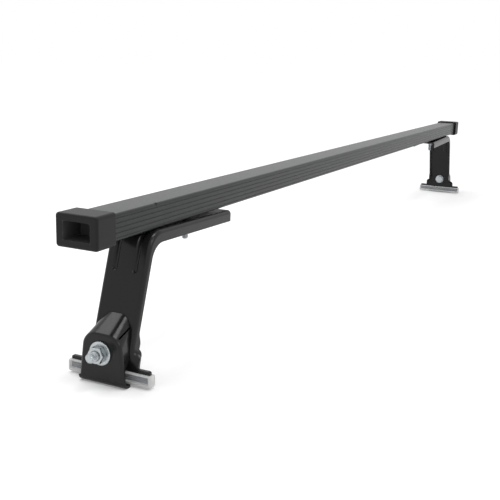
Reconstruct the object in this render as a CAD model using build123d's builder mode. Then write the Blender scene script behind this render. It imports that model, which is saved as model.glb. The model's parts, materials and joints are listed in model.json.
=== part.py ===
import os
from math import cos, pi, radians, sin, tan

from build123d import *

# A gutter-mounted roof bar: one coated rectangular tube that stands on two pressed steel
# feet, each gripping a vehicle's rain gutter between a booted blade and a screwed claw.
# Sizes are in millimetres. +X runs along the bar, +Z is up, and the origin is on the
# ground under the middle of the bar. Each piece is made at the +X end and mirrored.

# Crossbar: rectangular steel tube with a ribbed plastic coating
bar_length = 1250.0
bar_width = 32.0
bar_height = 22.0
bar_wall = 2.0
bar_corner = 2.4
groove_count = 5
groove_pitch = 3.9
groove_width = 1.2
groove_depth = 0.5

# End cap: moulded sleeve over the tube with a hollow plug inside it
cap_side = 3.4
cap_over = 2.3
cap_end = 3.0
cap_length = 24.0
cap_corner = 2.8
cap_edge = 1.8
cap_plug_wall = 1.3
cap_floor = 2.0
cap_play = 0.1

# Foot: channel pressed from one sheet, an arm under the bar and a leaning leg
sheet = 3.0
foot_height = 119.5
leg_inset = 69.5
leg_lean = 17.8
arm_reach = 138.3
arm_slope = 1.4
channel_width = 41.0
channel_depth = 10.5
leg_depth = 6.6
leg_depth_from = 40.0
leg_depth_to = 32.0
trim_radius = 17.0
trim_blend = 6.0
channel_corner = 3.6
bend_radius = 20.0
lower_bend_radius = 50.0
opening_stations = 6
flat_opening = 2.0

# Two beads pressed across the bend stiffen it
bead_spacing = 19.5
bead_radius = 3.0
bead_depth = 1.5
bead_on_arm = 34.0
bead_on_leg = 34.0

# Blade at the foot of the leg, and the soft boot pushed over it
blade_width = 77.0
blade_height = 10.4
blade_corner = 1.4
boot_wall = 3.0
boot_end = 2.0
boot_floor = 2.8
boot_height = 10.2
boot_edge = 1.2
boot_play = 0.1

# Claw: hood pressed from sheet, with a lip that hooks under the gutter
claw_sheet = 2.5
claw_depth = 12.0
claw_width = 45.0
claw_drop = 1.5
claw_lip_gap = 0.6
claw_lip_radius = 5.0
claw_top = 43.5
claw_arch = 15.0
claw_edge = 2.6
claw_side_bottom = 13.5
claw_side_slope = 40.0
claw_play = 0.3
roof_slope = 28.5
side_draft = 8.0
side_lean = 6.5
slit_width = 1.4
slit_front_gap = 3.5
slit_offset = 14.8
slit_height = 40.8
slit_rise = 18.5
slit_turn = 35.0

# M8 claw bolt with its washers and nut
bolt_height = 27.7
bolt_diameter = 8.0
bolt_length = 35.0
bolt_hole = 9.0
head_flats = 13.0
head_height = 5.3
head_washer_diameter = 16.0
head_washer_height = 1.6
claw_washer_diameter = 20.0
claw_washer_height = 2.0
nut_flats = 13.0
nut_height = 6.5
hex_chamfer_angle = 30.0
thread_chamfer = 1.0
thread_play = 0.05
washer_play = 0.2
seat_radius = 12.0
seat_rim = 2.3

# M6 cup-head bolt that holds each foot to the slotted bar
bar_bolt_inset = 156.0
bar_bolt_diameter = 6.0
bar_bolt_drop = 23.7
bar_bolt_hole = 6.8
cup_diameter = 15.0
cup_height = 3.6
cup_rim = 0.8
neck_play = 0.2
foot_travel = 35.0
bar_washer_diameter = 12.0
bar_washer_height = 1.6
bar_nut_flats = 10.0
bar_nut_height = 5.0

# Places worked out from the sizes above
lean = radians(leg_lean)
bar_end = bar_length / 2
bar_bottom = claw_drop + foot_height
bar_axis = bar_bottom + bar_height / 2
bore_width = bar_width - 2 * bar_wall
bore_height = bar_height - 2 * bar_wall
bore_corner = bar_corner / 2
bar_bolt_x = bar_end - bar_bolt_inset
slot_width = bar_bolt_diameter + 2 * neck_play
slot_length = 2 * foot_travel + bar_bolt_diameter + slot_width

leg_x = bar_end - leg_inset
arm_end_x = leg_x - arm_reach
slope = radians(arm_slope)
turn_middle = (pi / 2 + slope + lean) / 2
turn_secant = 1 / cos((pi / 2 + slope - lean) / 2)
bend_x = leg_x - bend_radius * (1 - sin(lean)) / cos(lean)
bend_z = bar_bottom - bend_radius
web_half = channel_width / 2 - channel_corner
flange_reach = channel_depth - channel_corner
corner_length = (channel_corner - sheet / 2) * pi / 2

blade_bottom = claw_drop + boot_floor
blade_top = blade_bottom + blade_height
lower_corner_z = blade_top + lower_bend_radius * tan(lean / 2)


def leg_line_x(z):
    """Where the line of the leg's outer face is at a height."""
    return leg_x + (bar_bottom - z) * tan(lean)


def bend_corner(outward):
    """Where the arm's and the leg's lines would meet, moved outward from the sheet."""
    reach = (bend_radius + outward) * turn_secant
    return (bend_x + reach * cos(turn_middle), bend_z + reach * sin(turn_middle))


def arm_line_z(x):
    """Height of the line of the arm's upper face at a place along the bar."""
    return bend_corner(0)[1] - (bend_corner(0)[0] - x) * tan(slope)


blade_x = leg_line_x(lower_corner_z)
lower_bend_x = blade_x - lower_bend_radius
claw_face = blade_x + claw_depth
lip_end = blade_x + boot_wall + claw_lip_gap
seat_x = leg_line_x(bolt_height)
seat_inner_x = seat_x - sheet
bolt_head_x = seat_inner_x - head_washer_height
hood_half = claw_width / 2 - (claw_top - claw_lip_radius) * tan(radians(side_lean))
arm_cut = channel_depth / cos(slope)
leg_cut = leg_depth / cos(lean)
leg_cut_full = channel_depth / cos(lean)
trim_reach = leg_line_x(bend_corner(0)[1]) - leg_cut - bend_corner(0)[0]
trim_fall = arm_cut - trim_reach * tan(slope)
trim_corner_x = bend_corner(0)[0] + (trim_reach + trim_fall * tan(lean)) / (
    1 + tan(slope) * tan(lean)
)
washer_seat_z = arm_line_z(bar_bolt_x - bar_washer_diameter / 2) - sheet / cos(slope)


def leg_station(angle):
    """Section plane on the lower bend, where the leg leans by an angle in radians."""
    point = (
        lower_bend_x + lower_bend_radius * cos(angle),
        0,
        blade_top + lower_bend_radius * sin(angle),
    )
    return Plane(origin=point, x_dir=(0, -1, 0), z_dir=(sin(angle), 0, -cos(angle)))


def channel_section(plane, opening, reach):
    """Section of the pressed sheet, its flanges turned in by an angle in degrees.

    The sheet keeps its developed width, so the section widens as the flanges open.
    """
    turn = radians(opening)
    neutral = corner_length / turn
    outer = neutral + sheet / 2
    inner = neutral - sheet / 2

    def on_corner(radius, angle):
        return Vector(
            web_half + radius * sin(angle), sheet / 2 + neutral - radius * cos(angle)
        )

    flange = Vector(reach * cos(turn), reach * sin(turn))
    outer_end = on_corner(outer, turn)
    inner_end = on_corner(inner, turn)
    with BuildSketch(plane) as section:
        with BuildLine():
            Line((0, 0), (web_half, 0))
            ThreePointArc((web_half, 0), on_corner(outer, turn / 2), outer_end)
            Polyline(outer_end, outer_end + flange, inner_end + flange, inner_end)
            ThreePointArc(inner_end, on_corner(inner, turn / 2), (web_half, sheet))
            Line((web_half, sheet), (0, sheet))
            mirror(about=Plane.YZ)
        make_face()
    return section.sketch


def hood_section(x, inset):
    """Arched section of the claw's hood at a place along the bar, inset by its wall."""
    inward = claw_face - x
    top = claw_top + inward * tan(radians(roof_slope)) - inset / cos(radians(roof_slope))
    low_half = claw_width / 2 - inward * tan(radians(side_draft)) - inset
    top_half = low_half - (top - claw_lip_radius) * tan(radians(side_lean))
    with BuildSketch(Plane.YZ.offset(x)) as section:
        with BuildLine():
            Polyline(
                (-low_half, claw_lip_radius),
                (low_half, claw_lip_radius),
                (top_half, top),
                (-top_half, top),
                close=True,
            )
        make_face()
        shoulders = section.vertices().group_by(Axis.Y)[-1]
        fillet(shoulders, radius=claw_arch * top_half / hood_half)
    return section.sketch


def hexagon_prism(plane, flats, height, bottom_chamfer=True):
    """Hexagonal blank along a plane's normal, its corners turned off at the ends."""
    flat = flats / 2
    corner = flat / cos(pi / 6)
    chamfer_height = (corner - flat) * tan(radians(hex_chamfer_angle))
    outline = [(corner, height - chamfer_height), (flat, height), (0, height), (0, 0)]
    outline += [(flat, 0), (corner, chamfer_height)] if bottom_chamfer else [(corner, 0)]
    with BuildPart() as blank:
        with BuildSketch(plane):
            RegularPolygon(radius=flat, side_count=6, major_radius=False)
        extrude(amount=height)
        with BuildSketch(Plane(plane.origin, plane.x_dir, -plane.y_dir)):
            with BuildLine():
                Polyline(outline, close=True)
            make_face()
        revolve(axis=Axis(plane.origin, plane.z_dir), mode=Mode.INTERSECT)
    return blank.part


# The crossbar runs the whole length, with a slot under it for each foot's bolt
with BuildPart() as crossbar:
    with BuildSketch(Plane.YZ.offset(-bar_end)):
        with Locations((0, bar_axis)):
            RectangleRounded(bar_width, bar_height, bar_corner)
            RectangleRounded(bore_width, bore_height, bore_corner, mode=Mode.SUBTRACT)
            with GridLocations(bar_width, groove_pitch, 2, groove_count):
                Rectangle(2 * groove_depth, groove_width, mode=Mode.SUBTRACT)
    extrude(amount=bar_length)
    with BuildSketch(Plane.XY.offset(bar_bottom)):
        with Locations((-bar_bolt_x, 0), (bar_bolt_x, 0)):
            SlotOverall(slot_length, slot_width)
    extrude(amount=bar_wall, mode=Mode.SUBTRACT)

# The cap's sleeve and its hollow plug grip the tube's wall from both sides
with BuildPart() as end_cap:
    with BuildSketch(Plane.YZ.offset(bar_end + cap_end)):
        with Locations((0, bar_axis)):
            RectangleRounded(
                bar_width + 2 * cap_side, bar_height + 2 * cap_over, cap_corner
            )
    extrude(amount=-cap_length)
    fillet(end_cap.faces().sort_by(Axis.X)[-1].edges(), radius=cap_edge)
    fillet(end_cap.faces().sort_by(Axis.X)[0].edges(), radius=cap_edge / 2)
    with BuildSketch(Plane.YZ.offset(bar_end)):
        with Locations((0, bar_axis)):
            RectangleRounded(
                bar_width + 2 * cap_play, bar_height + 2 * cap_play, bar_corner + cap_play
            )
            RectangleRounded(
                bore_width - 2 * cap_play,
                bore_height - 2 * cap_play,
                bore_corner,
                mode=Mode.SUBTRACT,
            )
    extrude(amount=-cap_length, mode=Mode.SUBTRACT)
    with BuildSketch(Plane.YZ.offset(bar_end + cap_end)):
        with Locations((0, bar_axis)):
            RectangleRounded(
                bore_width - 2 * cap_play - 2 * cap_plug_wall,
                bore_height - 2 * cap_play - 2 * cap_plug_wall,
                bore_corner,
            )
    extrude(amount=-(cap_length - cap_floor), mode=Mode.SUBTRACT)

# Outer face line of the foot's sheet, from the arm's tip round to the lower bend
bend_end = leg_station(lean).origin
with BuildPart() as foot:
    with BuildLine(Plane.XZ) as sheet_line:
        FilletPolyline(
            (arm_end_x, arm_line_z(arm_end_x)),
            bend_corner(0),
            (bend_end.X, bend_end.Z),
            radius=bend_radius,
        )
    tip_plane = Plane(
        origin=sheet_line.line @ 0, x_dir=(0, -1, 0), z_dir=sheet_line.line % 0
    )
    sweep(
        sections=channel_section(tip_plane, 90, flange_reach + sheet),
        path=sheet_line.line,
    )

    # Flanges trimmed to the arm's depth, shallower down the leg, then out to the flare
    with BuildSketch(Plane.XZ):
        with BuildLine():
            arm_edge = (arm_end_x - sheet, arm_line_z(arm_end_x - sheet) - arm_cut)
            flare_edge = (leg_line_x(0) - leg_cut_full, 0)
            FilletPolyline(
                arm_edge,
                (trim_corner_x, arm_line_z(trim_corner_x) - arm_cut),
                (leg_line_x(leg_depth_from) - leg_cut, leg_depth_from),
                (leg_line_x(leg_depth_to) - leg_cut_full, leg_depth_to),
                flare_edge,
                radius=(trim_radius, trim_blend, trim_blend),
            )
            Polyline(flare_edge, (arm_edge[0], 0), arm_edge)
        make_face()
    extrude(amount=channel_width, both=True, mode=Mode.SUBTRACT)

    # The flanges open flat over the lower bend, and the sheet widens as they do
    stations = [i / (opening_stations - 1) for i in range(opening_stations)]
    loft(
        sections=[
            channel_section(
                leg_station(lean * (1 - s)),
                flat_opening + (90 - flat_opening) * (1 - s) ** 2,
                flange_reach,
            )
            for s in stations
        ]
    )
    with BuildSketch(Plane.YZ.offset(blade_x)):
        with Locations((0, (blade_bottom + blade_top) / 2)):
            RectangleRounded(blade_width, blade_height, blade_corner)
    extrude(amount=-sheet)

# Beads across the bend: raised inside the channel and hollow outside it
bead_lift = bead_radius - bead_depth
bead_corner = bend_corner(bead_lift)
bead_start = (
    bead_corner[0] - bead_on_arm * cos(slope),
    bead_corner[1] - bead_on_arm * sin(slope),
)
bead_end = (
    bead_corner[0] + bead_on_leg * sin(lean),
    bead_corner[1] - bead_on_leg * cos(lean),
)
bead_ends = (
    (bead_start[0], 0, bead_start[1]),
    (bead_end[0], 0, bead_end[1]),
)


def bead_rods(radius):
    """Two round-ended rods that follow the bend, one for each bead."""
    with BuildPart() as rods:
        with BuildLine(Plane.XZ) as bead_line:
            FilletPolyline(bead_start, bead_corner, bead_end, radius=bend_radius + bead_lift)
        with BuildSketch(Plane(bead_line.line @ 0, z_dir=bead_line.line % 0)):
            Circle(radius)
        sweep(path=bead_line.line)
        with Locations(*bead_ends):
            Sphere(radius)
    with BuildPart() as pair:
        with Locations((0, -bead_spacing / 2, 0), (0, bead_spacing / 2, 0)):
            add(rods.part)
    return pair.part


with BuildPart() as bead_backs:
    with BuildSketch(tip_plane):
        with Locations((0, channel_depth / 2)):
            Rectangle(2 * web_half, channel_depth)
    sweep(path=sheet_line.line)
    add(bead_rods(bead_radius + sheet), mode=Mode.INTERSECT)

# Seat for the claw bolt: a disc of the leaning web pressed upright
with BuildPart() as bolt_seat:
    with BuildSketch(Plane.YZ.offset(seat_x)):
        with Locations((0, bolt_height)):
            Circle(seat_radius)
    extrude(amount=-2 * sheet)
    with BuildSketch(Plane.XZ):
        with BuildLine():
            Polyline(
                (leg_x - sheet / cos(lean), bar_bottom),
                (blade_x - sheet, lower_corner_z),
                (blade_x - sheet, 0),
                (bar_end, 0),
                (bar_end, bar_bottom),
                close=True,
            )
        make_face()
    extrude(amount=channel_width, both=True, mode=Mode.INTERSECT)
    with BuildSketch(Plane.YZ.offset(seat_x)):
        with Locations((0, bolt_height)):
            Circle(seat_radius)
    extrude(amount=-sheet)

with foot:
    add(bead_backs.part)
    add(bead_rods(bead_radius), mode=Mode.SUBTRACT)
    add(bolt_seat.part)
    with BuildSketch(Plane.YZ.offset(seat_x)):
        with Locations((0, bolt_height)):
            Circle(seat_radius - seat_rim)
    extrude(amount=sheet, mode=Mode.SUBTRACT)
    with BuildSketch(Plane.YZ.offset(seat_inner_x)):
        with Locations((0, bolt_height)):
            Circle(seat_radius - seat_rim)
    extrude(amount=-2 * sheet, mode=Mode.SUBTRACT)
    with BuildSketch(Plane.YZ.offset(seat_x)):
        with Locations((0, bolt_height)):
            Circle(bolt_hole / 2)
    extrude(amount=-sheet, mode=Mode.SUBTRACT)
    with BuildSketch(Plane.XY.offset(bar_bottom)):
        with Locations((bar_bolt_x, 0)):
            Circle(bar_bolt_hole / 2)
    extrude(amount=-2 * sheet, mode=Mode.SUBTRACT)

# The boot is moulded to the blade and rests on the gutter's floor
with BuildPart() as boot:
    with BuildSketch(Plane.XY.offset(claw_drop)):
        with Locations((blade_x - sheet / 2, 0)):
            Rectangle(sheet + 2 * boot_wall, blade_width + 2 * boot_end)
    extrude(amount=boot_height)
    sole = boot.faces().sort_by(Axis.Z)[0]
    fillet(boot.edges().filter_by(Axis.Z) + sole.edges(), radius=boot_edge)
    with BuildSketch(Plane.XY.offset(blade_bottom)):
        with Locations((blade_x - sheet / 2, 0)):
            Rectangle(sheet + 2 * boot_play, blade_width + 2 * boot_play)
    extrude(amount=boot_height, mode=Mode.SUBTRACT)

# The claw's hood is drawn from sheet: outside less inside, then trimmed to the leg
with BuildPart() as claw:
    loft(sections=[hood_section(claw_face, 0), hood_section(leg_x, 0)])
    front = claw.faces().sort_by(Axis.X)[-1]
    fillet(front.edges().sort_by(Axis.Z)[1:], radius=claw_edge)
    loft(
        sections=[
            hood_section(claw_face - claw_sheet, claw_sheet),
            hood_section(leg_x, claw_sheet),
        ],
        mode=Mode.SUBTRACT,
    )
    # Back edges follow the leg, and the sides stop above the gutter's lip
    with BuildSketch(Plane.XZ):
        with BuildLine():
            inner_face = claw_face - claw_sheet
            side_top = claw_side_bottom + (inner_face - blade_x) * tan(
                radians(claw_side_slope)
            )
            leg_play = claw_play / cos(lean)
            Polyline(
                (inner_face, 0),
                (inner_face, claw_side_bottom),
                (blade_x + claw_play, side_top),
                (blade_x + claw_play, lower_corner_z),
                (leg_x + leg_play, bar_bottom),
                (leg_x - claw_width, bar_bottom),
                (leg_x - claw_width, 0),
                close=True,
            )
        make_face()
    extrude(amount=claw_width, both=True, mode=Mode.SUBTRACT)

    # Front wall below the sides, turned in as a lip
    with BuildSketch(Plane.XZ) as lip:
        with BuildLine():
            Polyline(
                (claw_face, claw_lip_radius),
                (claw_face, 0),
                (lip_end, 0),
                (lip_end, claw_sheet),
                (claw_face - claw_sheet, claw_sheet),
                (claw_face - claw_sheet, claw_lip_radius),
                close=True,
            )
        make_face()
        outside = lip.vertices().sort_by_distance((claw_face, 0))[0]
        fillet(outside, radius=claw_lip_radius)
        inside = lip.vertices().sort_by_distance((claw_face - claw_sheet, claw_sheet))[0]
        fillet(inside, radius=claw_lip_radius - claw_sheet)
    extrude(amount=claw_width / 2, both=True)
    with BuildSketch(Plane.YZ.offset(claw_face)):
        with Locations((0, bolt_height)):
            Circle(bolt_hole / 2)
    extrude(amount=-claw_sheet, mode=Mode.SUBTRACT)

    # Slits down the shoulders, from behind the front edge out through the back
    rise = radians(slit_rise)
    turn = radians(slit_turn)
    for side in (-1, 1):
        slit_plane = Plane(
            (claw_face - slit_front_gap, side * slit_offset, slit_height),
            (-cos(rise), 0, sin(rise)),
            (0, side * cos(turn), sin(turn)),
        )
        with BuildSketch(slit_plane):
            with Locations((claw_depth, 0)):
                Rectangle(2 * claw_depth, slit_width)
        extrude(amount=2 * claw_sheet, both=True, mode=Mode.SUBTRACT)

# Claw bolt, from the washer under its head to its free end
axis_plane = Plane(origin=(0, 0, bolt_height), x_dir=(0, 1, 0), z_dir=(1, 0, 0))
with BuildPart() as claw_bolt:
    add(
        hexagon_prism(
            Plane((bolt_head_x, 0, bolt_height), (0, 1, 0), (-1, 0, 0)),
            head_flats,
            head_height,
            bottom_chamfer=False,
        )
    )
    with BuildSketch(axis_plane.offset(bolt_head_x)):
        Circle(bolt_diameter / 2)
    extrude(amount=bolt_length)
    chamfer(claw_bolt.edges().sort_by(Axis.X)[-1], length=thread_chamfer)


def washer_at(plane, outside, hole, height):
    """Flat washer standing on a plane."""
    with BuildPart() as ring:
        with BuildSketch(plane):
            Circle(outside / 2)
            Circle(hole / 2, mode=Mode.SUBTRACT)
        extrude(amount=height)
    return ring.part


def nut_at(plane, flats, hole, height):
    """Hexagon nut standing on a plane."""
    with BuildPart() as nut:
        add(hexagon_prism(plane, flats, height))
        with BuildSketch(plane):
            Circle(hole / 2)
        extrude(amount=height, mode=Mode.SUBTRACT)
    return nut.part


claw_head_washer = washer_at(
    axis_plane.offset(bolt_head_x),
    head_washer_diameter,
    bolt_diameter + 2 * washer_play,
    head_washer_height,
)
claw_washer = washer_at(
    axis_plane.offset(claw_face),
    claw_washer_diameter,
    bolt_diameter + 2 * washer_play,
    claw_washer_height,
)
claw_nut = nut_at(
    axis_plane.offset(claw_face + claw_washer_height),
    nut_flats,
    bolt_diameter + 2 * thread_play,
    nut_height,
)

# Bar bolt: its head slides inside the tube, with its square neck in the slot
with BuildPart() as bar_bolt:
    shank = bar_bolt_diameter / 2
    cup = cup_diameter / 2
    cup_bottom = bar_bottom + bar_wall
    bolt_tip = bar_bottom - bar_bolt_drop
    with BuildSketch(Plane((bar_bolt_x, 0, 0), x_dir=(1, 0, 0), z_dir=(0, -1, 0))):
        with BuildLine():
            Polyline(
                (0, cup_bottom + cup_height),
                (0, bolt_tip),
                (shank - thread_chamfer, bolt_tip),
                (shank, bolt_tip + thread_chamfer),
                (shank, cup_bottom),
                (cup, cup_bottom),
                (cup, cup_bottom + cup_rim),
            )
            RadiusArc(
                (cup, cup_bottom + cup_rim),
                (0, cup_bottom + cup_height),
                -(cup**2 + (cup_height - cup_rim) ** 2) / (2 * (cup_height - cup_rim)),
            )
        make_face()
    revolve(axis=Axis((bar_bolt_x, 0, 0), (0, 0, 1)))
    with BuildSketch(Plane.XY.offset(bar_bottom)):
        with Locations((bar_bolt_x, 0)):
            Rectangle(bar_bolt_diameter, bar_bolt_diameter)
    extrude(amount=bar_wall)

under_arm = Plane((bar_bolt_x, 0, washer_seat_z), (1, 0, 0), (0, 0, -1))
bar_washer = washer_at(
    under_arm,
    bar_washer_diameter,
    bar_bolt_diameter + 2 * washer_play,
    bar_washer_height,
)
bar_nut = nut_at(
    under_arm.offset(bar_washer_height),
    bar_nut_flats,
    bar_bolt_diameter + 2 * thread_play,
    bar_nut_height,
)

# Every piece of the +X end goes out as made, and mirrored for the -X end
end_pieces = {
    "end_cap": end_cap.part,
    "foot": foot.part,
    "boot": boot.part,
    "claw": claw.part,
    "claw_bolt": claw_bolt.part,
    "claw_head_washer": claw_head_washer,
    "claw_washer": claw_washer,
    "claw_nut": claw_nut,
    "bar_bolt": bar_bolt.part,
    "bar_washer": bar_washer,
    "bar_nut": bar_nut,
}

os.makedirs("parts", exist_ok=True)
crossbar.part.label = "crossbar"
export_step(crossbar.part, "parts/crossbar.step")
for name, piece in end_pieces.items():
    for side, solid in (("right", piece), ("left", mirror(piece, about=Plane.YZ))):
        solid.label = f"{side}_{name}"
        export_step(solid, f"parts/{side}_{name}.step")
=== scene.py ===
# %% [markdown]
# A gutter-mounted roof bar, dressed
#
# The object is a black coated steel tube on two pressed steel feet. Each foot stands in a
# vehicle's rain gutter in a soft boot, and a claw is screwed up against the gutter's lip.
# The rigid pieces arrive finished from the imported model, so this lesson is mostly about
# surfaces: a matt coating, a glossy one, moulded plastic, clear vinyl and zinc. The
# fasteners and the boots are modelled here, because threads and a soft sleeve are easier
# to shape by hand than to machine.

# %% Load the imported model
import json
from math import asin, ceil, cos, pi, radians, sin, tan, tau

import bpy
from mathutils import Matrix, Vector


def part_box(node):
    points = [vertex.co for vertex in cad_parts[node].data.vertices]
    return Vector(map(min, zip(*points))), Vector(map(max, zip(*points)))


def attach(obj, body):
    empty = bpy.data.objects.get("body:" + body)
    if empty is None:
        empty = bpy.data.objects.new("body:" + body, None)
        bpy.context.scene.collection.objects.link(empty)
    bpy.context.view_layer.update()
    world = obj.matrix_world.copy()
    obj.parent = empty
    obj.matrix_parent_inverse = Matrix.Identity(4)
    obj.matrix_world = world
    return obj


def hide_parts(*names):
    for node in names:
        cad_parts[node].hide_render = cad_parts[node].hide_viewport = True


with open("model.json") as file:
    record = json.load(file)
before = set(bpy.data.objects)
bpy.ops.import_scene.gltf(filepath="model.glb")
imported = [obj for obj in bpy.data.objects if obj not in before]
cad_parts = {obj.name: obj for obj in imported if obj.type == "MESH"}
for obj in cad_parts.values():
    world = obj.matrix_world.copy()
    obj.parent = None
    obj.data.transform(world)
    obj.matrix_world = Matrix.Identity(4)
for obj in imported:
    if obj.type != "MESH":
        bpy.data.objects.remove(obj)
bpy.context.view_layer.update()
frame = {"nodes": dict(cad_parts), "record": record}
SIDES = ("left", "right")
MM = 0.001

# %% [markdown]
# The camera
#
# A photograph of a long bar from one end is all perspective, so the camera matters more
# than any other setting. Its place and its three turns were found by matching corners of
# the bar and the feet, and the focal length is the one at which they all fit.

# %% Set up the camera
CAMERA_PLACE = Vector((-1.09308, -0.36505, 0.26128))
CAMERA_HEADING = 1.12535
CAMERA_DIP = 0.23546
CAMERA_ROLL = 0.03339
CAMERA_LENS = 57.6
CAMERA_NEAREST = 0.05


def camera_axes(heading, dip, roll):
    """Right, up and forward directions of a camera that looks down by a dip."""
    forward = Vector((sin(heading) * cos(dip), cos(heading) * cos(dip), -sin(dip)))
    level = Vector((cos(heading), -sin(heading), 0))
    upright = level.cross(forward)
    right = cos(roll) * level + sin(roll) * upright
    up = cos(roll) * upright - sin(roll) * level
    return right, up, forward


bpy.ops.object.select_all(action="DESELECT")
bpy.ops.object.camera_add()
camera = bpy.context.object
camera.name = "photo_camera"
camera.data.lens = CAMERA_LENS
camera.data.clip_start = CAMERA_NEAREST
right, up, forward = camera_axes(CAMERA_HEADING, CAMERA_DIP, CAMERA_ROLL)
camera_turn = Matrix((right, up, -forward)).transposed().to_4x4()
camera.matrix_world = Matrix.Translation(CAMERA_PLACE) @ camera_turn
bpy.context.scene.camera = camera
bpy.context.scene.view_settings.view_transform = "Standard"
print("camera looks along", [round(v, 3) for v in forward])

# %% [markdown]
# The studio
#
# The photograph has a plain white ground, with only a faint shadow on it. A curved paper
# backdrop would do, but one large pale floor that runs into a white world is simpler, and it
# looks the same from every side.

# %% Lay the floor
FLOOR_SIZE = 24.0
FLOOR_COLOUR = (0.93, 0.93, 0.93, 1.0)
FLOOR_ROUGHNESS = 0.9
bpy.ops.mesh.primitive_plane_add(size=FLOOR_SIZE)
floor = bpy.context.object
floor.name = "studio_floor"

floor_paint = bpy.data.materials.new("pale_floor")
floor_paint.use_nodes = True
floor_shader = floor_paint.node_tree.nodes["Principled BSDF"]
floor_shader.inputs["Base Color"].default_value = FLOOR_COLOUR
floor_shader.inputs["Roughness"].default_value = FLOOR_ROUGHNESS
floor_shader.inputs["Specular IOR Level"].default_value = 0.0
floor.data.materials.append(floor_paint)
print("floor:", FLOOR_SIZE, "m square")

# %% [markdown]
# A floor that stays white
#
# The lamps fade with distance, and a floor lit by them alone would turn grey behind the
# object. Here the paper glows a little by itself, and more the further it is from the middle.
# Only the camera, mirror images and clear plastic see that glow, so it lights nothing.

# %% Let the floor glow with distance
NEAR_GLOW = {"distance": 0.7, "strength": 0.12}
FAR_GLOW = {"distance": 2.8, "strength": 0.44}


def seen_or_mirrored(tree):
    """1 for rays from the camera, a mirror image or clear plastic, 0 for light on the object."""
    path = tree.nodes.new("ShaderNodeLightPath")
    seen = path.outputs["Is Camera Ray"]
    for kind in ("Is Glossy Ray", "Is Transmission Ray"):
        either = tree.nodes.new("ShaderNodeMath")
        either.operation = "MAXIMUM"
        tree.links.new(seen, either.inputs[0])
        tree.links.new(path.outputs[kind], either.inputs[1])
        seen = either.outputs[0]
    return seen


ground = floor_paint.node_tree
paper_glow = ground.nodes.new("ShaderNodeEmission")
place_on_floor = ground.nodes.new("ShaderNodeTexCoord")
from_middle = ground.nodes.new("ShaderNodeVectorMath")
from_middle.operation = "LENGTH"
glow_by_distance = ground.nodes.new("ShaderNodeMapRange")
glow_by_distance.interpolation_type = "SMOOTHSTEP"
glow_by_distance.inputs["From Min"].default_value = NEAR_GLOW["distance"]
glow_by_distance.inputs["From Max"].default_value = FAR_GLOW["distance"]
glow_by_distance.inputs["To Min"].default_value = NEAR_GLOW["strength"]
glow_by_distance.inputs["To Max"].default_value = FAR_GLOW["strength"]
ground.links.new(place_on_floor.outputs["Object"], from_middle.inputs[0])
ground.links.new(from_middle.outputs["Value"], glow_by_distance.inputs["Value"])
ground.links.new(glow_by_distance.outputs["Result"], paper_glow.inputs["Strength"])
bright_paper = ground.nodes.new("ShaderNodeAddShader")
paper = ground.nodes.new("ShaderNodeMixShader")
ground.links.new(floor_shader.outputs[0], bright_paper.inputs[0])
ground.links.new(paper_glow.outputs[0], bright_paper.inputs[1])
ground.links.new(seen_or_mirrored(ground), paper.inputs[0])
ground.links.new(floor_shader.outputs[0], paper.inputs[1])
ground.links.new(bright_paper.outputs[0], paper.inputs[2])
ground.links.new(paper.outputs[0], ground.nodes["Material Output"].inputs["Surface"])
print("floor glows from", NEAR_GLOW["strength"], "to", FAR_GLOW["strength"])

# %% [markdown]
# The room
#
# The world is white to the camera, and to mirror images and clear plastic too, so that the
# zinc and the coatings show the same white room that stands behind them. The light that it
# sheds on the object is weaker, or the shadow would be washed out.

# %% Paint the room white
ROOM_WHITE = 1.0
ROOM_FILL = 0.62
world = bpy.data.worlds.new("studio")
bpy.context.scene.world = world
world.use_nodes = True
room = world.node_tree
room.nodes.clear()
room_out = room.nodes.new("ShaderNodeOutputWorld")
white = room.nodes.new("ShaderNodeBackground")
fill = room.nodes.new("ShaderNodeBackground")
for background, strength in ((white, ROOM_WHITE), (fill, ROOM_FILL)):
    background.inputs["Color"].default_value = (1, 1, 1, 1)
    background.inputs["Strength"].default_value = strength
walls = room.nodes.new("ShaderNodeMixShader")
room.links.new(seen_or_mirrored(room), walls.inputs[0])
room.links.new(fill.outputs[0], walls.inputs[1])
room.links.new(white.outputs[0], walls.inputs[2])
room.links.new(walls.outputs[0], room_out.inputs["Surface"])
print("room: white", ROOM_WHITE, "fill", ROOM_FILL)

# %% [markdown]
# The softboxes
#
# Three area lamps stand in for softboxes. The large one hangs beyond the far side and lights
# the top of the bar, and the two small ones are aimed at the near foot and its claw.

# %% Hang the softboxes
SOFTBOXES = {
    "softbox_over": {
        "place": (-0.1, 0.95, 2.2), "aim": (0, 0, 0.1), "size": (2.0, 1.4), "power": 24.0
    },
    "softbox_right": {
        "place": (-0.7, -1.7, 1.3), "aim": (-0.45, 0, 0.1), "size": (0.7, 0.7), "power": 6.0
    },
    "softbox_near": {
        "place": (-0.3, -0.38, 1.95), "aim": (-0.55, 0, 0.1), "size": (0.5, 0.9), "power": 10.0
    },
}
for name, box in SOFTBOXES.items():
    bpy.ops.object.light_add(type="AREA", location=box["place"])
    lamp = bpy.context.object
    lamp.name = name
    lamp.data.shape = "RECTANGLE"
    lamp.data.size, lamp.data.size_y = box["size"]
    lamp.data.energy = box["power"]
    aim = Vector(box["aim"]) - Vector(box["place"])
    lamp.rotation_euler = aim.to_track_quat("-Z", "Y").to_euler()
print("studio lamps:", list(SOFTBOXES))

# %% [markdown]
# A material is built from a few parts
#
# Every finish here is one Principled shader. What makes it look real is a little unevenness
# in roughness and height, at the scale of the real surface. All patterns read Object
# coordinates, in metres, so a scale of 1000 is a feature about every millimetre. A finish
# starts with about its middle colour and roughness, and the patterns then vary them.

# %% Helpers for finishes
BEVEL_SAMPLES = 4


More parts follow.
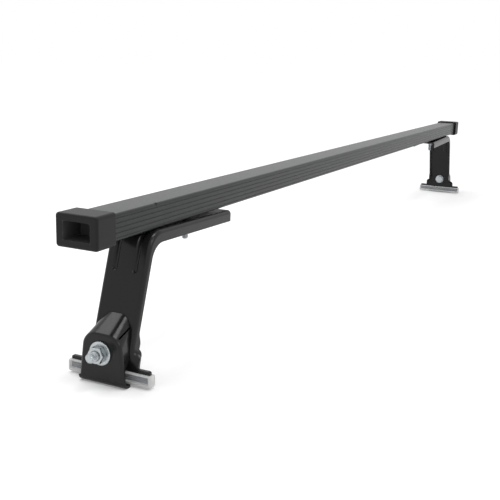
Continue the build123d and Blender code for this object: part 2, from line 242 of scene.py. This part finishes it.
def new_finish(name, colour, roughness, metallic=0.0, specular=0.5):
    """A new Principled material and its shader node."""
    material = bpy.data.materials.new(name)
    material.use_nodes = True
    shader = material.node_tree.nodes["Principled BSDF"]
    shader.inputs["Base Color"].default_value = (*colour, 1)
    shader.inputs["Roughness"].default_value = roughness
    shader.inputs["Metallic"].default_value = metallic
    shader.inputs["Specular IOR Level"].default_value = specular
    material.diffuse_color = (*colour, 1)
    return material, shader


def noise(material, scale, detail):
    """A noise texture on the piece's own coordinates."""
    nodes, links = material.node_tree.nodes, material.node_tree.links
    place = nodes.new("ShaderNodeTexCoord")
    texture = nodes.new("ShaderNodeTexNoise")
    texture.inputs["Scale"].default_value = scale
    texture.inputs["Detail"].default_value = detail
    links.new(place.outputs["Object"], texture.inputs["Vector"])
    return texture.outputs["Fac"]


def span(material, value, low, high, start=0.3, end=0.7):
    """Maps a texture's value from start..end to low..high."""
    ranger = material.node_tree.nodes.new("ShaderNodeMapRange")
    ranger.inputs["From Min"].default_value = start
    ranger.inputs["From Max"].default_value = end
    ranger.inputs["To Min"].default_value = low
    ranger.inputs["To Max"].default_value = high
    material.node_tree.links.new(value, ranger.inputs["Value"])
    return ranger.outputs["Result"]


def blend(material, value, low, high):
    """Mixes two shades by a texture's value. A shade may be another mix's result."""
    mix = material.node_tree.nodes.new("ShaderNodeMix")
    mix.data_type = "RGBA"
    for socket, shade in (("A", low), ("B", high)):
        if isinstance(shade, tuple):
            mix.inputs[socket].default_value = (*shade, 1)
        else:
            material.node_tree.links.new(shade, mix.inputs[socket])
    material.node_tree.links.new(value, mix.inputs["Factor"])
    return mix.outputs["Result"]


def tint(material, shader, shade):
    """Drives a shader's colour."""
    material.node_tree.links.new(shade, shader.inputs["Base Color"])


def roughen(material, shader, value):
    """Drives a shader's roughness."""
    material.node_tree.links.new(value, shader.inputs["Roughness"])


def soft_edge_bump(material, shader, height, distance, edge):
    """Bump from a height, over edges that catch the light as a rounded edge does."""
    nodes, links = material.node_tree.nodes, material.node_tree.links
    bevel = nodes.new("ShaderNodeBevel")
    bevel.samples = BEVEL_SAMPLES
    bevel.inputs["Radius"].default_value = edge
    bump = nodes.new("ShaderNodeBump")
    bump.inputs["Distance"].default_value = distance
    links.new(height, bump.inputs["Height"])
    links.new(bevel.outputs[0], bump.inputs["Normal"])
    links.new(bump.outputs[0], shader.inputs["Normal"])


print("helpers: new_finish, noise, span, blend, tint, roughen, soft_edge_bump")

# %% [markdown]
# Matt coating on the bar
#
# The tube is dipped in a plastic coating, matt and nearly black, with a fine orange-peel
# texture. At a flat angle even a matt coating turns grey, which is why the top of the bar
# looks so much lighter than its side. One small nick in the top edge, near the left end, has
# scuffed the coating, which is duller there. The nick's dent is shaded in its colour: a dark
# spot of painted shade, with a painted highlight as its paler middle.

# %% The bar's coating
NICK_PLACE = Vector((-542.2, -15.8, 142.6)) * MM
NICK_SIZE = 2.8 * MM
NICK_CORE = 1.2 * MM
NICK_CORE_OFFSET = Vector((0.6, -0.3, -0.9)) * MM
NICK_ROUGHNESS = 0.5
# The nick's two colours are painted shade and a painted highlight, the shading of a small dent.
NICK_PAINTED_SHADE = (0.006, 0.006, 0.007)
NICK_PAINTED_HIGHLIGHT = (0.055, 0.050, 0.053)
COAT_SHADE = (0.014, 0.016, 0.016)
COAT_DARK = (0.012, 0.014, 0.014)
COAT_LIGHT = (0.017, 0.019, 0.019)


def spot(material, centre, radius):
    """1 at a place on a piece, falling to 0 at a radius from it."""
    nodes, links = material.node_tree.nodes, material.node_tree.links
    where = nodes.new("ShaderNodeTexCoord")
    away = nodes.new("ShaderNodeVectorMath")
    away.operation = "DISTANCE"
    away.inputs[1].default_value = centre
    links.new(where.outputs["Object"], away.inputs[0])
    return span(material, away.outputs["Value"], low=1, high=0, start=radius / 2, end=radius)


def add_share(material, value, share, base):
    """A share of one value on top of another."""
    total = material.node_tree.nodes.new("ShaderNodeMath")
    total.operation = "MULTIPLY_ADD"
    total.inputs[1].default_value = share
    material.node_tree.links.new(value, total.inputs[0])
    material.node_tree.links.new(base, total.inputs[2])
    return total.outputs[0]


bar_coating, shader = new_finish("bar_coating", COAT_SHADE, roughness=0.34, specular=0.25)
peel = noise(bar_coating, scale=900, detail=3)
mottle = span(bar_coating, noise(bar_coating, scale=60, detail=4), low=0, high=1)
nick = spot(bar_coating, NICK_PLACE, NICK_SIZE)
nick_highlight = spot(bar_coating, NICK_PLACE + NICK_CORE_OFFSET, NICK_CORE)
coat = blend(bar_coating, mottle, COAT_DARK, COAT_LIGHT)
# Painted shade: the nick's dark spot, and over it the painted highlight of its paler middle.
coat = blend(bar_coating, nick, coat, NICK_PAINTED_SHADE)
tint(bar_coating, shader, blend(bar_coating, nick_highlight, coat, NICK_PAINTED_HIGHLIGHT))
unworn = span(bar_coating, peel, low=0.29, high=0.38)
roughen(bar_coating, shader, add_share(bar_coating, nick, NICK_ROUGHNESS, unworn))
soft_edge_bump(bar_coating, shader, peel, distance=0.05 * MM, edge=0.5 * MM)
print("made", bar_coating.name)

# %% [markdown]
# Gloss coating on the feet and claws
#
# The pressings are coated in gloss black. It mirrors the softboxes, and slow waves in the
# coat make those mirror images wander along the bends. A fine haze in its roughness keeps it
# from looking like glass.

# %% The pressings' coating
GLOSS_SHADE = (0.010, 0.010, 0.010)
gloss_black, shader = new_finish("gloss_black", GLOSS_SHADE, roughness=0.2, specular=0.25)
slow_wave = noise(gloss_black, scale=120, detail=2)
haze = noise(gloss_black, scale=400, detail=3)
roughen(gloss_black, shader, span(gloss_black, haze, low=0.17, high=0.27))
soft_edge_bump(gloss_black, shader, slow_wave, distance=0.12 * MM, edge=0.6 * MM)
print("made", gloss_black.name)

# %% [markdown]
# Moulded plastic of the end caps
#
# Cheap black mouldings have a fine sparked grain and a plain neutral black. Inside the pocket
# of a cap light is painted into the colour, a lighter grey, which is why the recess isn't a
# black hole. Where the pocket is, two bands on the piece's own coordinates say.

# %% The caps' plastic
POCKET_HALF = (12.65 * MM, 7.65 * MM)
CAP_SHADE = (0.008, 0.008, 0.008)
# Painted light: the lighter grey that the pocket shows in place of the light it lacks.
POCKET_PAINTED_LIGHT = (0.065, 0.067, 0.065)


def nearness(material, axis, place, half_width):
    """1 where a piece's X, Y or Z lies within half_width of a place, and 0 outside it."""
    nodes, links = material.node_tree.nodes, material.node_tree.links
    where = nodes.new("ShaderNodeTexCoord")
    parts = nodes.new("ShaderNodeSeparateXYZ")
    within = nodes.new("ShaderNodeMath")
    within.operation = "COMPARE"
    within.inputs[1].default_value = place
    within.inputs[2].default_value = half_width
    links.new(where.outputs["Object"], parts.inputs[0])
    links.new(parts.outputs[axis], within.inputs[0])
    return within.outputs[0]


def both(material, first, second):
    """1 where two masks are both 1."""
    product = material.node_tree.nodes.new("ShaderNodeMath")
    product.operation = "MULTIPLY"
    material.node_tree.links.new(first, product.inputs[0])
    material.node_tree.links.new(second, product.inputs[1])
    return product.outputs[0]


cap_plastic, shader = new_finish("cap_plastic", CAP_SHADE, roughness=0.45, specular=0.2)
grain = noise(cap_plastic, scale=2200, detail=2)
roughen(cap_plastic, shader, span(cap_plastic, grain, low=0.38, high=0.5))
low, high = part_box("crossbar")
across_pocket = nearness(cap_plastic, "Y", 0.0, POCKET_HALF[0])
up_pocket = nearness(cap_plastic, "Z", (low[2] + high[2]) / 2, POCKET_HALF[1])
in_pocket = both(cap_plastic, across_pocket, up_pocket)
# The pocket's lighter grey is painted light, not the plastic's own colour.
tint(cap_plastic, shader, blend(cap_plastic, in_pocket, CAP_SHADE, POCKET_PAINTED_LIGHT))
soft_edge_bump(cap_plastic, shader, grain, distance=0.03 * MM, edge=1.2 * MM)
print("made", cap_plastic.name)

# %% [markdown]
# Clear vinyl of the boots
#
# The boots are soft vinyl, clouded rather than clear. The blade shows through as a grey
# window. Round it, where the vinyl is solid, it is a pale milky grey and hides more. A partly
# transparent shader does that without the cost of real refraction, and two bands on the
# piece's own coordinates say where the window is.

# %% The boots' vinyl
WALL_ALPHA = 0.39
SOLID_ALPHA = 0.80
MOUTH_BAND = 1.1 * MM
VINYL_SHADE = (0.44, 0.45, 0.47)
VINYL_DARK = (0.40, 0.415, 0.44)
VINYL_LIGHT = (0.47, 0.485, 0.51)
VINYL_SOLID = (0.64, 0.645, 0.635)
clear_vinyl, shader = new_finish("clear_vinyl", VINYL_SHADE, roughness=0.3)
cloud = noise(clear_vinyl, scale=60, detail=2)
blade_low, blade_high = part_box("right_foot")
window_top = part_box("right_boot")[1][2] - MOUTH_BAND
along_blade = nearness(clear_vinyl, "Y", 0.0, blade_high[1])
window_half = (window_top - blade_low[2]) / 2
up_blade = nearness(clear_vinyl, "Z", blade_low[2] + window_half, window_half)
window = both(clear_vinyl, along_blade, up_blade)
milk = blend(clear_vinyl, span(clear_vinyl, cloud, low=0, high=1), VINYL_DARK, VINYL_LIGHT)
tint(clear_vinyl, shader, blend(clear_vinyl, window, VINYL_SOLID, milk))
alpha = span(clear_vinyl, window, low=SOLID_ALPHA, high=WALL_ALPHA, start=0, end=1)
clear_vinyl.node_tree.links.new(alpha, shader.inputs["Alpha"])
soft_edge_bump(clear_vinyl, shader, cloud, distance=0.1 * MM, edge=0.4 * MM)
print("made", clear_vinyl.name)

# %% [markdown]
# Zinc plate on the fasteners
#
# Bright zinc is a metal with a bluish grey colour, slightly uneven in shade and in gloss. One
# fine pattern drives both, which is enough on pieces as small as these.

# %% The fasteners' plating
ZINC_SHADE = (0.44, 0.46, 0.47)
ZINC_DARK = (0.38, 0.41, 0.43)
ZINC_LIGHT = (0.47, 0.50, 0.51)
zinc, shader = new_finish("zinc", ZINC_SHADE, roughness=0.3, metallic=1.0)
spangle = noise(zinc, scale=420, detail=3)
tint(zinc, shader, blend(zinc, span(zinc, spangle, low=0, high=1), ZINC_DARK, ZINC_LIGHT))
roughen(zinc, shader, span(zinc, spangle, low=0.24, high=0.34))
soft_edge_bump(zinc, shader, spangle, distance=0.02 * MM, edge=0.15 * MM)
print("made", zinc.name)

# %% [markdown]
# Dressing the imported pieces
#
# The record names a slot for each node, and the materials above carry the same names, so
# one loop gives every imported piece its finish.

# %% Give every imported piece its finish
FINISHES = {
    "bar_coating": bar_coating,
    "gloss_black": gloss_black,
    "cap_plastic": cap_plastic,
    "clear_vinyl": clear_vinyl,
    "zinc": zinc,
}
for subpart in frame["record"]["subparts"]:
    node = frame["nodes"][subpart["node"]]
    finish = FINISHES[subpart["material_slot"]]
    for slot in node.material_slots:
        slot.material = finish

# %% [markdown]
# How a fastener is made
#
# A bolt, a nut and a washer are lathe work, so they are modelled as on a lathe: a profile is
# drawn point by point and spun about Z. A thread is the same idea with a pitch, which is what
# the Screw modifier does. A hexagon is a six-sided cylinder, and its corners are turned off by
# keeping only what it shares with a turned blank.

# %% Drawing, turning and cutting
SPIN_STEPS = 48
WELD = 0.001 * MM
SHARP_EDGE = radians(35)
SMOOTH_BELOW = radians(40)


def deselect_all():
    """Nothing is left selected, so an operator touches only what is made next."""
    bpy.ops.object.select_all(action="DESELECT")


def draw_profile(name, points):
    """A line through points (distance from Z, height), left in edit mode and selected."""
    deselect_all()
    bpy.ops.mesh.primitive_plane_add(size=MM, location=(0, 0, 0))
    profile = bpy.context.object
    profile.name = name
    bpy.ops.object.mode_set(mode="EDIT")
    bpy.ops.mesh.select_all(action="SELECT")
    bpy.ops.mesh.merge(type="CENTER")
    pen = Vector((0, 0, 0))
    for number, (out, height) in enumerate(points):
        step = Vector((out, 0, height)) - pen
        if number == 0:
            bpy.ops.transform.translate(value=step)
        else:
            bpy.ops.mesh.extrude_region_move(TRANSFORM_OT_translate={"value": step})
        pen += step
    bpy.ops.mesh.select_all(action="SELECT")
    return profile


def turned(name, points):
    """A solid of revolution about Z. Its profile runs from one end of the axis to the other."""
    blank = draw_profile(name, points)
    bpy.ops.mesh.spin(steps=SPIN_STEPS, angle=tau, center=(0, 0, 0), axis=(0, 0, 1))
    bpy.ops.mesh.select_all(action="SELECT")
    bpy.ops.mesh.remove_doubles(threshold=WELD)
    bpy.ops.mesh.normals_make_consistent(inside=False)
    bpy.ops.object.mode_set(mode="OBJECT")
    return blank


def combine(piece, tool, operation):
    """Boolean of two closed meshes. The tool is used up."""
    deselect_all()
    bpy.context.view_layer.objects.active = piece
    piece.select_set(True)
    bpy.ops.object.modifier_add(type="BOOLEAN")
    boolean = piece.modifiers[-1]
    boolean.operation = operation
    boolean.solver = "EXACT"
    boolean.object = tool
    bpy.ops.object.modifier_apply(modifier=boolean.name)
    bpy.data.meshes.remove(tool.data)


def break_edges(piece, width, segments=2):
    """A small bevel on every sharp edge, and smooth shading between them."""
    deselect_all()
    bpy.context.view_layer.objects.active = piece
    piece.select_set(True)
    bpy.ops.object.modifier_add(type="BEVEL")
    bevel = piece.modifiers[-1]
    bevel.width = width
    bevel.segments = segments
    bevel.limit_method = "ANGLE"
    bevel.angle_limit = SHARP_EDGE
    bevel.use_clamp_overlap = True
    bpy.ops.object.modifier_apply(modifier=bevel.name)
    bpy.ops.object.shade_smooth_by_angle(angle=SMOOTH_BELOW)


def join(piece, others):
    """One object out of several closed shells."""
    deselect_all()
    for other in others:
        other.select_set(True)
    piece.select_set(True)
    bpy.context.view_layer.objects.active = piece
    bpy.ops.object.join()
    return piece


def block(name, low, high):
    """A box between two corners."""
    deselect_all()
    bpy.ops.mesh.primitive_cube_add(size=1, location=(Vector(low) + Vector(high)) / 2)
    box = bpy.context.object
    box.name = name
    box.scale = Vector(high) - Vector(low)
    bpy.ops.object.transform_apply(location=True, rotation=True, scale=True)
    return box


print("a turned piece has", SPIN_STEPS, "steps round")

# %% [markdown]
# A real thread
#
# The thread's profile is one pitch of a zigzag with a flat crest and a flat root. The Screw
# modifier winds it up the bolt, and each turn's top edge meets the next turn's bottom edge, so
# they are welded. Two cuts then close the ends, and the free end gets its lead-in chamfer.

# %% Threads
THREAD_DEPTH = 0.61
ONE_PITCH = (
    ("root", 0), ("root", 1 / 8), ("crest", 7 / 16),
    ("crest", 9 / 16), ("root", 7 / 8), ("root", 1),
)
THREAD_STEPS = 32
THREAD_SMOOTH_BELOW = radians(25)
SPARE_TURNS = 4
LEAD_IN_SHARE = 0.42


def threaded_rod(name, radius, pitch, length):
    """A right-handed threaded rod from the origin up Z, closed at both ends."""
    reach = {"root": radius - THREAD_DEPTH * pitch, "crest": radius}
    lead_in = LEAD_IN_SHARE * radius
    start = SPARE_TURNS / 2
    rod = draw_profile(name, [(reach[part], (up - start) * pitch) for part, up in ONE_PITCH])
    bpy.ops.object.mode_set(mode="OBJECT")
    bpy.ops.object.modifier_add(type="SCREW")
    screw = rod.modifiers[-1]
    screw.angle = tau
    screw.screw_offset = pitch
    screw.iterations = ceil(length / pitch) + SPARE_TURNS
    screw.steps = THREAD_STEPS
    screw.render_steps = THREAD_STEPS
    bpy.ops.object.modifier_apply(modifier=screw.name)
    bpy.ops.object.mode_set(mode="EDIT")
    bpy.ops.mesh.select_all(action="SELECT")
    bpy.ops.mesh.remove_doubles(threshold=WELD)
    for height, upward in ((0, -1), (length, 1)):
        bpy.ops.mesh.select_all(action="SELECT")
        bpy.ops.mesh.bisect(
            plane_co=(0, 0, height),
            plane_no=(0, 0, upward),
            use_fill=True,
            clear_outer=True,
            threshold=WELD,
        )
    bpy.ops.mesh.select_all(action="SELECT")
    bpy.ops.mesh.normals_make_consistent(inside=False)
    bpy.ops.object.mode_set(mode="OBJECT")
    for corner in rod.data.vertices:
        out = Vector((corner.co.x, corner.co.y))
        allowed = radius - max(0, lead_in - (length - corner.co.z))
        if out.length > allowed:
            corner.co.x, corner.co.y = out.normalized() * allowed
    bpy.ops.object.shade_smooth_by_angle(angle=THREAD_SMOOTH_BELOW)
    return rod


print("a thread has", THREAD_STEPS, "steps to a turn")

# %% [markdown]
# Hexagons
#
# The corners of a hexagon are turned off at 30 degrees, which leaves the curved edge that
# every nut shows. The turned face is kept a little smaller than the flats, because a circle
# that just touches six edges leaves the boolean nothing clear to cut. A nut's hole is opened
# at both faces, so the thread can start.

# %% Bolt heads and nuts
CORNER_ANGLE = radians(30)
FACE_SHARE = 0.96
EDGE_BREAK = 0.12 * MM
NUT_PLAY = 0.05 * MM
NUT_MOUTH = 0.35 * MM
WASHER_SEGMENTS = 3


def hexagon(name, flats, height, chamfered_below=True):
    """A hexagon standing on the origin, with its corners along X."""
    corner = flats / 2 / cos(pi / 6)
    face = FACE_SHARE * flats / 2
    wide = corner + MM
    spread = (wide - face) * tan(CORNER_ANGLE)
    deselect_all()
    bpy.ops.mesh.primitive_cylinder_add(
        vertices=6,
        radius=corner,
        depth=height,
        location=(0, 0, height / 2),
        rotation=(0, 0, pi / 6),
    )
    prism = bpy.context.object
    prism.name = name
    bpy.ops.object.transform_apply(location=True, rotation=True, scale=True)
    above = [(wide, height - spread), (face, height), (face, height + MM), (0, height + MM)]
    below = [(0, -MM), (face, -MM), (face, 0), (wide, spread)]
    if not chamfered_below:
        below = [(0, -MM), (wide, -MM)]
    combine(prism, turned("corner_blank", below + above), "INTERSECT")
    return prism


def nut(name, flats, height, bolt_radius):
    """A hexagon nut on the origin, its hole opened at both faces."""
    blank = hexagon(name, flats, height)
    hole = bolt_radius + NUT_PLAY
    mouth = hole + NUT_MOUTH
    outline = [(0, -MM), (mouth + MM, -MM), (hole, mouth - hole)]
    outline += [(hole, height - (mouth - hole)), (mouth + MM, height + MM)]
    outline.append((0, height + MM))
    combine(blank, turned("hole_blank", outline), "DIFFERENCE")
    break_edges(blank, EDGE_BREAK)
    return blank


def flat_ring(name, outside, hole, height):
    """A square-edged ring: a circle, drawn in to a flat ring, then raised."""
    deselect_all()
    bpy.ops.mesh.primitive_circle_add(vertices=SPIN_STEPS, radius=outside)
    ring = bpy.context.object
    ring.name = name
    bpy.ops.object.mode_set(mode="EDIT")
    bpy.ops.mesh.select_all(action="SELECT")
    bpy.ops.mesh.extrude_edges_move()
    bpy.ops.transform.resize(value=(hole / outside, hole / outside, 1), center_override=(0, 0, 0))
    bpy.ops.mesh.select_all(action="SELECT")
    bpy.ops.mesh.extrude_region_move(TRANSFORM_OT_translate={"value": (0, 0, height)})
    bpy.ops.mesh.select_all(action="SELECT")
    bpy.ops.mesh.normals_make_consistent(inside=False)
    bpy.ops.object.mode_set(mode="OBJECT")
    return ring


def washer(name, outside, hole, height, edge):
    """A punched flat washer on the origin, with rounded edges."""
    ring = flat_ring(name, outside, hole, height)
    break_edges(ring, edge, WASHER_SEGMENTS)
    return ring


print("hexagon corners turned at", round(CORNER_ANGLE * 180 / pi), "degrees")

# %% [markdown]
# Standing a fastener in its place
#
# A fastener is modelled standing on the origin, and is then stood on its axis at the right
# end. It is moved in its mesh, so its object stays at the origin. The left end's fasteners
# are the same ones turned half round, because a mirror would turn a right-handed thread into
# a left-handed one.

# %% Helpers for placing
MODELLED = "modelled"
HALF_TURN = Matrix.Rotation(pi, 4, "Z")


def stand_in_place(piece, turn, foot):
    """Turns a piece that stands on the origin and puts its foot at a place, in its mesh."""
    piece.data.transform(Matrix.Translation(foot) @ turn)
    piece.data.update()


def at_both_ends(piece, node, body, slot):
    """Dresses a piece of the right end, and copies it half a turn round for the left end."""
    other = piece.copy()
    other.data = piece.data.copy()
    bpy.context.collection.objects.link(other)
    other.data.transform(HALF_TURN)
    for side, fastener in (("right", piece), ("left", other)):
        fastener.name = f"{side}_{node}_{MODELLED}"
        fastener.data.materials.clear()
        fastener.data.materials.append(FINISHES[slot])
        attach(fastener, f"{side}_{body}")
        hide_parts(f"{side}_{node}")
    print(node, "triangles:", sum(len(face.vertices) - 2 for face in piece.data.polygons))


def axis_foot(node, end):
    """Middle of the low (0) or high (1) end of a node that lies along X."""
    low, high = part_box(node)
    return Vector(((low, high)[end][0], (low[1] + high[1]) / 2, (low[2] + high[2]) / 2))


print("helpers: stand_in_place, at_both_ends, axis_foot")

# %% [markdown]
# The claw's bolt
#
# An M8 bolt pulls the claw against the gutter. Its head is turned on its outer face only. The
# thread starts half way up the head, inside it, so that head and shank can stay two closed
# shells in one object, and no boolean has to cut a thread.

# %% Make the claw's bolt
CLAW_THREAD = {"radius": 4.0 * MM, "pitch": 1.25 * MM}
CLAW_FLATS = 13.0 * MM
HEAD_HEIGHT = 5.3 * MM
ALONG_BAR = Matrix(((0, 0, 1), (1, 0, 0), (0, 1, 0))).to_4x4()
UPSIDE_DOWN = Matrix.Rotation(pi, 4, "X")
low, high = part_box("right_claw_bolt")
head = hexagon("claw_bolt_head", CLAW_FLATS, HEAD_HEIGHT, chamfered_below=False)
break_edges(head, EDGE_BREAK)
stand_in_place(head, UPSIDE_DOWN, Vector((0, 0, HEAD_HEIGHT)))
screw_length = high[0] - low[0] - HEAD_HEIGHT / 2
shank = threaded_rod("claw_bolt_shank", CLAW_THREAD["radius"], CLAW_THREAD["pitch"], screw_length)
stand_in_place(shank, Matrix(), Vector((0, 0, HEAD_HEIGHT / 2)))
claw_screw = join(head, [shank])
stand_in_place(claw_screw, ALONG_BAR, axis_foot("right_claw_bolt", 0))
at_both_ends(claw_screw, "claw_bolt", "foot", "zinc")

# %% [markdown]
# The claw's washers and nut
#
# One washer lies under the bolt's head in the foot, and a wide one spreads the nut's force on
# the claw. A punched washer has soft edges, which is what catches the light. The nut stands a
# hair off its washer, so that two faces which only touch aren't taken for faces that cut.

# %% Make the claw's washers and nut
WASHER_PLAY = 0.2 * MM
CLAW_WASHER_EDGE = 0.35 * MM
WASHER_EDGE = 0.2 * MM
SEAT = 0.02 * MM
for node, body, edge in (
    ("claw_head_washer", "foot", WASHER_EDGE),
    ("claw_washer", "claw", CLAW_WASHER_EDGE),
):
    low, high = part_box(f"right_{node}")
    hole = CLAW_THREAD["radius"] + WASHER_PLAY
    ring = washer(node, (high[1] - low[1]) / 2, hole, high[0] - low[0], edge)
    stand_in_place(ring, ALONG_BAR, axis_foot(f"right_{node}", 0))
    at_both_ends(ring, node, body, "zinc")

low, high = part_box("right_claw_nut")
claw_nut = nut("claw_nut", CLAW_FLATS, high[0] - low[0] - SEAT, CLAW_THREAD["radius"])
stand_in_place(claw_nut, ALONG_BAR, axis_foot("right_claw_nut", 0) + Vector((SEAT, 0, 0)))
at_both_ends(claw_nut, "claw_nut", "nut", "zinc")

# %% [markdown]
# The bar's cup-head bolts
#
# Each foot hangs on an M6 coach bolt whose head slides inside the tube. Its square neck sits
# in the tube's slot and stops it turning. The dome is an arc, drawn with a few points. The
# cup, too, stands a hair off the tube's floor.

# %% Make the bar's bolt
BAR_THREAD = {"radius": 3.0 * MM, "pitch": 1.0 * MM}
CUP_HEIGHT = 3.6 * MM - SEAT
CUP_RIM = 0.8 * MM
NECK_HEIGHT = 2.0 * MM
DOME_POINTS = 8
low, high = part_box("right_bar_bolt")
bolt_axis = Vector(((low[0] + high[0]) / 2, 0, low[2]))
cup_radius = (high[0] - low[0]) / 2
under_cup = high[2] - low[2] - CUP_HEIGHT
dome_rise = CUP_HEIGHT - CUP_RIM
dome_radius = (cup_radius**2 + dome_rise**2) / (2 * dome_rise)
dome_angle = asin(cup_radius / dome_radius)
cup_outline = [(0, under_cup), (cup_radius, under_cup), (cup_radius, under_cup + CUP_RIM)]
for number in range(1, DOME_POINTS + 1):
    angle = dome_angle * (1 - number / DOME_POINTS)
    cup_outline.append((
        dome_radius * sin(angle),
        under_cup + CUP_HEIGHT - dome_radius * (1 - cos(angle)),
    ))
cup = turned("bar_bolt_cup", cup_outline)
break_edges(cup, EDGE_BREAK)

neck_half = BAR_THREAD["radius"]
neck_low = (-neck_half, -neck_half, under_cup - NECK_HEIGHT)
neck = block("bar_bolt_neck", neck_low, (neck_half, neck_half, under_cup))
break_edges(neck, EDGE_BREAK)

stem = threaded_rod("bar_bolt_stem", BAR_THREAD["radius"], BAR_THREAD["pitch"], under_cup)
stand_in_place(stem, UPSIDE_DOWN, Vector((0, 0, under_cup)))
bar_bolt = join(cup, [neck, stem])
stand_in_place(bar_bolt, Matrix(), bolt_axis)
at_both_ends(bar_bolt, "bar_bolt", "foot", "zinc")

# %% [markdown]
# The bar's washer and nut
#
# They sit under the foot's arm and clamp it to the bar. The same helpers make them as made
# the claw's, and they stay upright, so only their place changes.

# %% Make the bar's washer and nut
BAR_FLATS = 10.0 * MM
low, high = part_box("right_bar_washer")
bar_hole = BAR_THREAD["radius"] + WASHER_PLAY
bar_washer = washer("bar_washer", (high[0] - low[0]) / 2, bar_hole, high[2] - low[2], WASHER_EDGE)
stand_in_place(bar_washer, Matrix(), Vector((bolt_axis.x, 0, low[2])))
at_both_ends(bar_washer, "bar_washer", "foot", "zinc")

low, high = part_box("right_bar_nut")
bar_nut = nut("bar_nut", BAR_FLATS, high[2] - low[2], BAR_THREAD["radius"])
stand_in_place(bar_nut, Matrix(), Vector((bolt_axis.x, 0, low[2])))
at_both_ends(bar_nut, "bar_nut", "foot", "zinc")

# %% [markdown]
# The soft boots
#
# A boot is a sleeve of soft vinyl, pushed over the blade so that the steel doesn't chafe the
# gutter. It is a rounded box with a pocket, but nothing soft is quite straight: its long walls
# belly out between the ends, in a slow wave. Sculpting could do that, but a curve and a wave
# come out the same each time. The pocket keeps the blade's size.

# %% Helpers for a soft sleeve
BOOT_CUTS = 15
BOOT_BELLY = 0.25 * MM
BOOT_WAVE = 0.12 * MM
BOOT_WAVES = 3.5


def soft_block(name, low, high):
    """A box with cuts along its length, so that its walls can belly."""
    sleeve = block(name, low, high)
    bpy.ops.object.mode_set(mode="EDIT")
    for number in range(1, BOOT_CUTS + 1):
        across = low[1] + (high[1] - low[1]) * number / (BOOT_CUTS + 1)
        bpy.ops.mesh.select_all(action="SELECT")
        bpy.ops.mesh.bisect(plane_co=(0, across, 0), plane_no=(0, 1, 0), threshold=WELD)
    bpy.ops.object.mode_set(mode="OBJECT")
    return sleeve


def belly(sleeve, low, high):
    """Draws a sleeve's long walls in at the ends, in a shallow curve with a slow wave on it."""
    middle = (Vector(low) + Vector(high)) / 2
    for corner in sleeve.data.vertices:
        along = (corner.co.y - middle.y) / (high[1] - middle.y)
        crown = BOOT_BELLY * (1 - along**2)
        phase = BOOT_WAVES * pi * along + corner.co.z / (high[2] - low[2]) * pi
        wave = BOOT_WAVE * sin(phase)
        outward = 1 if corner.co.x > middle.x else -1
        corner.co.x += outward * (crown + wave * (1 - along**4)) - outward * BOOT_BELLY


print("helpers: soft_block, belly")

# %% [markdown]
# Boots on their blades
#
# Each boot is made where it stands. Its edges are rounded before the pocket is cut, so only
# the outside is soft, and the pocket keeps the square corners of the sheet inside it.

# %% Make the boots
BOOT_ROUND = 1.3 * MM
BOOT_SEGMENTS = 4
SHEET = 3.0 * MM
BLADE_PLAY = 0.1 * MM
for side in SIDES:
    low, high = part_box(f"{side}_boot")
    boot = soft_block(f"{side}_boot_{MODELLED}", low, high)
    belly(boot, low, high)
    break_edges(boot, BOOT_ROUND, BOOT_SEGMENTS)

    foot_low, foot_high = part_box(f"{side}_foot")
    middle = (low[0] + high[0]) / 2
    reach = SHEET / 2 + BLADE_PLAY
    pocket_low = (middle - reach, foot_low[1] - BLADE_PLAY, foot_low[2])
    pocket_high = (middle + reach, foot_high[1] + BLADE_PLAY, high[2] + SHEET)
    combine(boot, block("boot_pocket", pocket_low, pocket_high), "DIFFERENCE")
    bpy.ops.object.shade_smooth_by_angle(angle=SMOOTH_BELOW)
    boot.data.materials.clear()
    boot.data.materials.append(FINISHES["clear_vinyl"])
    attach(boot, f"{side}_foot")
    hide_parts(f"{side}_boot")
    print(boot.name, "triangles:", sum(len(face.vertices) - 2 for face in boot.data.polygons))
